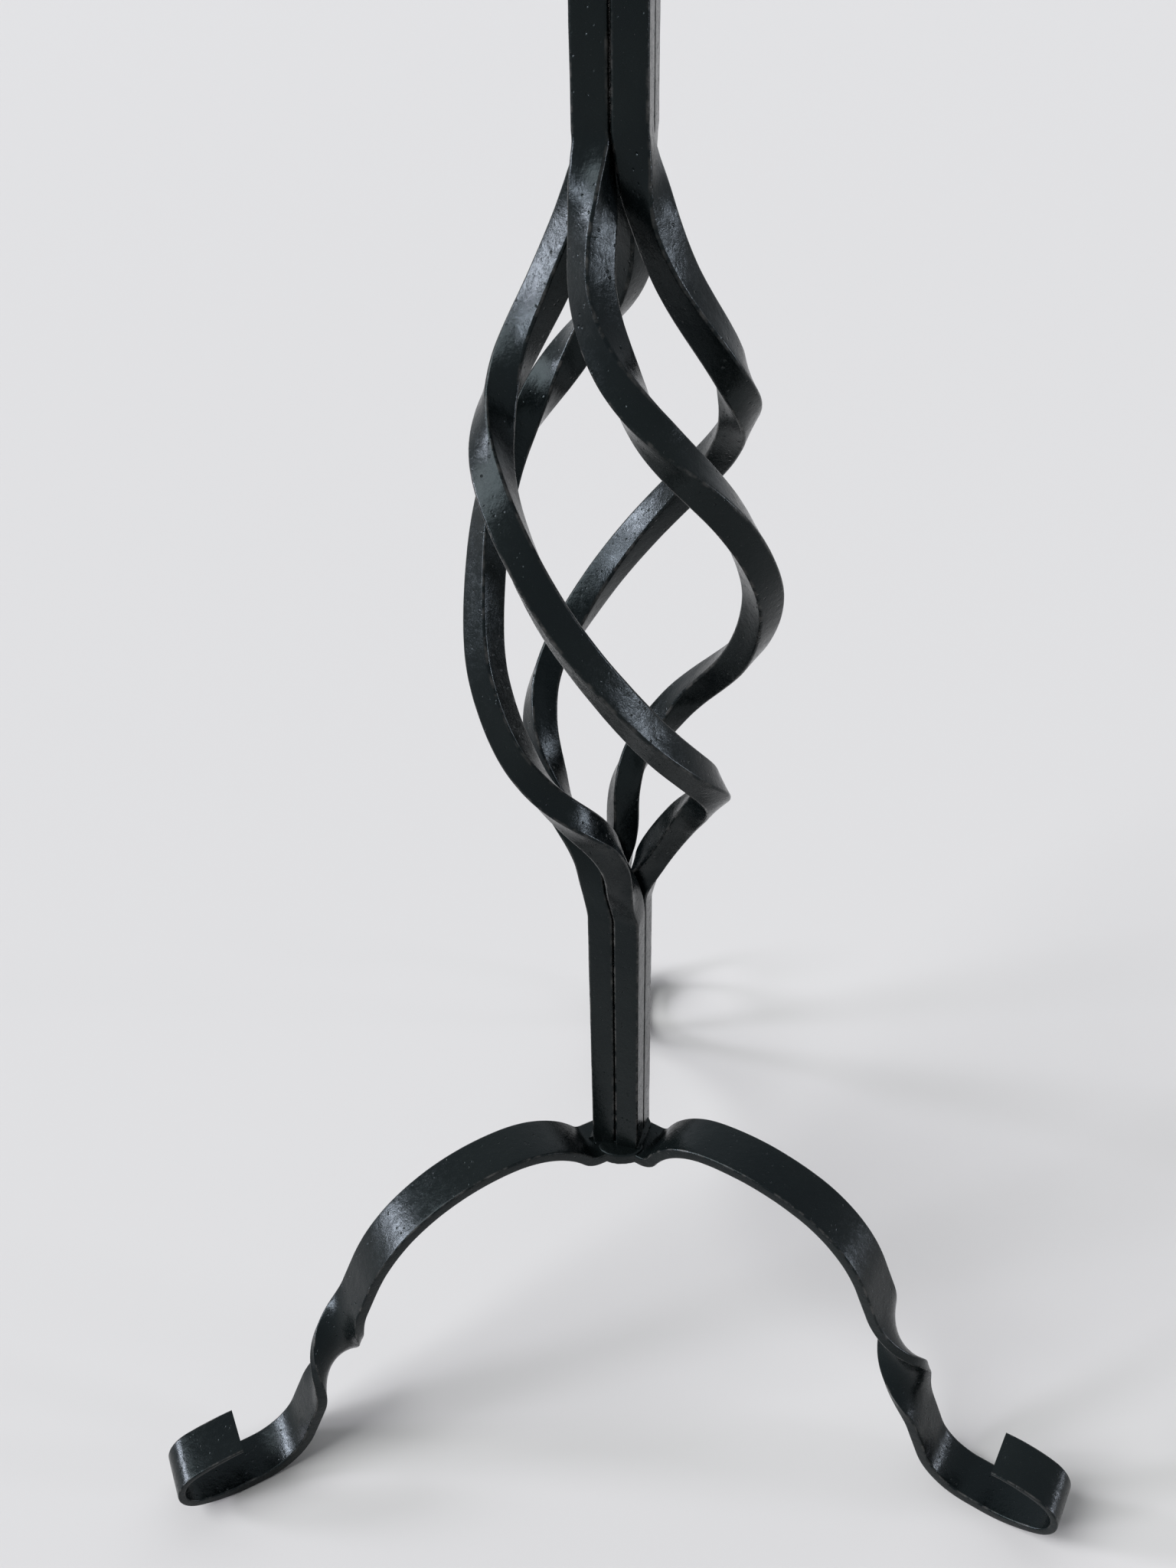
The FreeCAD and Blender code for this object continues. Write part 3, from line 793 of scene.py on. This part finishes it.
# Studio: a plain pale floor without an edge in view, even daylight from the upper left, low
# windows, two at the left and one at the right, that draw the bright patches on the bars,
# and a surround that is pale to the eye and lights the piece from behind.
floor_side = 60
floor_colour = (0.62, 0.61, 0.59, 1)
bpy.ops.object.select_all(action="DESELECT")
bpy.ops.mesh.primitive_plane_add(size=floor_side, location=(0, 0, 0))
floor = bpy.context.object
floor.name = "floor"
floor_paint = bpy.data.materials.new("pale_floor")
floor_paint.use_nodes = True
floor_shader = floor_paint.node_tree.nodes["Principled BSDF"]
floor_shader.inputs["Base Color"].default_value = floor_colour
floor_shader.inputs["Roughness"].default_value = 1
floor_shader.inputs["Specular IOR Level"].default_value = 0.1
floor.data.materials.append(floor_paint)

world = bpy.data.worlds.new("studio")
bpy.context.scene.world = world
world.use_nodes = True
surround = world.node_tree
backdrop = surround.nodes["Background"]
backdrop.inputs["Color"].default_value = (0.92, 0.95, 1.0, 1)
facing = surround.nodes.new("ShaderNodeTexCoord")
axes = surround.nodes.new("ShaderNodeSeparateXYZ")
falloff = surround.nodes.new("ShaderNodeMapRange")
falloff.interpolation_type = "SMOOTHSTEP"
falloff.inputs["From Min"].default_value = -0.15
falloff.inputs["From Max"].default_value = 0.75
falloff.inputs["To Min"].default_value = 0.08
falloff.inputs["To Max"].default_value = 0.95
surround.links.new(facing.outputs["Generated"], axes.inputs["Vector"])
surround.links.new(axes.outputs["Y"], falloff.inputs["Value"])
sight = surround.nodes.new("ShaderNodeLightPath")
pale_strength = 0.74


def reckoned(operation, first, second):
    """Result of a sum of two values of the surround. The second may be a plain number."""
    step = surround.nodes.new("ShaderNodeMath")
    step.operation = operation
    surround.links.new(first, step.inputs[0])
    if isinstance(second, float):
        step.inputs[1].default_value = second
    else:
        surround.links.new(second, step.inputs[1])
    return step.outputs["Value"]


mirrored = reckoned("ADD", sight.outputs["Is Glossy Ray"], sight.outputs["Is Transmission Ray"])
seen = reckoned("ADD", sight.outputs["Is Camera Ray"], mirrored)
pale = reckoned("MULTIPLY", seen, pale_strength)
strength = reckoned("MAXIMUM", falloff.outputs["Result"], pale)
surround.links.new(strength, backdrop.inputs["Strength"])
light_target = Vector((0, 0, 0.35))


def far_window(name, place, strength, spread, colour):
    """Light of a far window, from the side of a place towards the middle of the piece."""
    bpy.ops.object.light_add(type="SUN", location=place)
    lamp = bpy.context.object
    lamp.name = name
    lamp.data.energy = strength
    lamp.data.angle = math.radians(spread)
    lamp.data.color = colour
    lamp.rotation_euler = (light_target - Vector(place)).to_track_quat("-Z", "Y").to_euler()


window_colour = (0.90, 0.89, 1.0)
far_window("daylight", (-1.15, -0.35, 1.60), strength=2.8, spread=40, colour=(0.95, 0.97, 1.0))
far_window("left_window", (-2.86, 0.25, 1.23), strength=1.6, spread=10, colour=window_colour)
far_window("near_left_window", (-2.77, -0.85, 1.13), strength=1.4, spread=10, colour=window_colour)
far_window("right_window", (2.9, -0.50, 0.62), strength=0.9, spread=8, colour=window_colour)


# Camera at the photograph's place: about 0.37 m in front of the stem and 0.57 m over the
# floor, tipped down by 35 degrees.
focal_pixels = 1640
photo_height_pixels = 2048
film_height_mm = 36
camera_place = (0, -0.3672, 0.5675)
camera_pitch = math.radians(35.312)
camera_yaw = math.radians(-1.758)
camera_roll = math.radians(-1.337)
level_forward = Vector((math.sin(camera_yaw), math.cos(camera_yaw), 0))
forward = level_forward * math.cos(camera_pitch) - UP * math.sin(camera_pitch)
level_right = Vector((math.cos(camera_yaw), -math.sin(camera_yaw), 0))
level_up = level_right.cross(forward)
right = level_right * math.cos(camera_roll) + level_up * math.sin(camera_roll)
upward = level_up * math.cos(camera_roll) - level_right * math.sin(camera_roll)
bpy.ops.object.camera_add(location=(0, 0, 0))
camera = bpy.context.object
camera.data.sensor_fit = "VERTICAL"
camera.data.sensor_height = film_height_mm
camera.data.lens = film_height_mm * focal_pixels / photo_height_pixels
camera.data.clip_start = 0.01
camera.data.clip_end = 100
turn = Matrix((right, upward, -forward)).transposed().to_4x4()
camera.matrix_world = Matrix.Translation(camera_place) @ turn
bpy.context.scene.camera = camera
bpy.context.scene.view_settings.view_transform = "Standard"
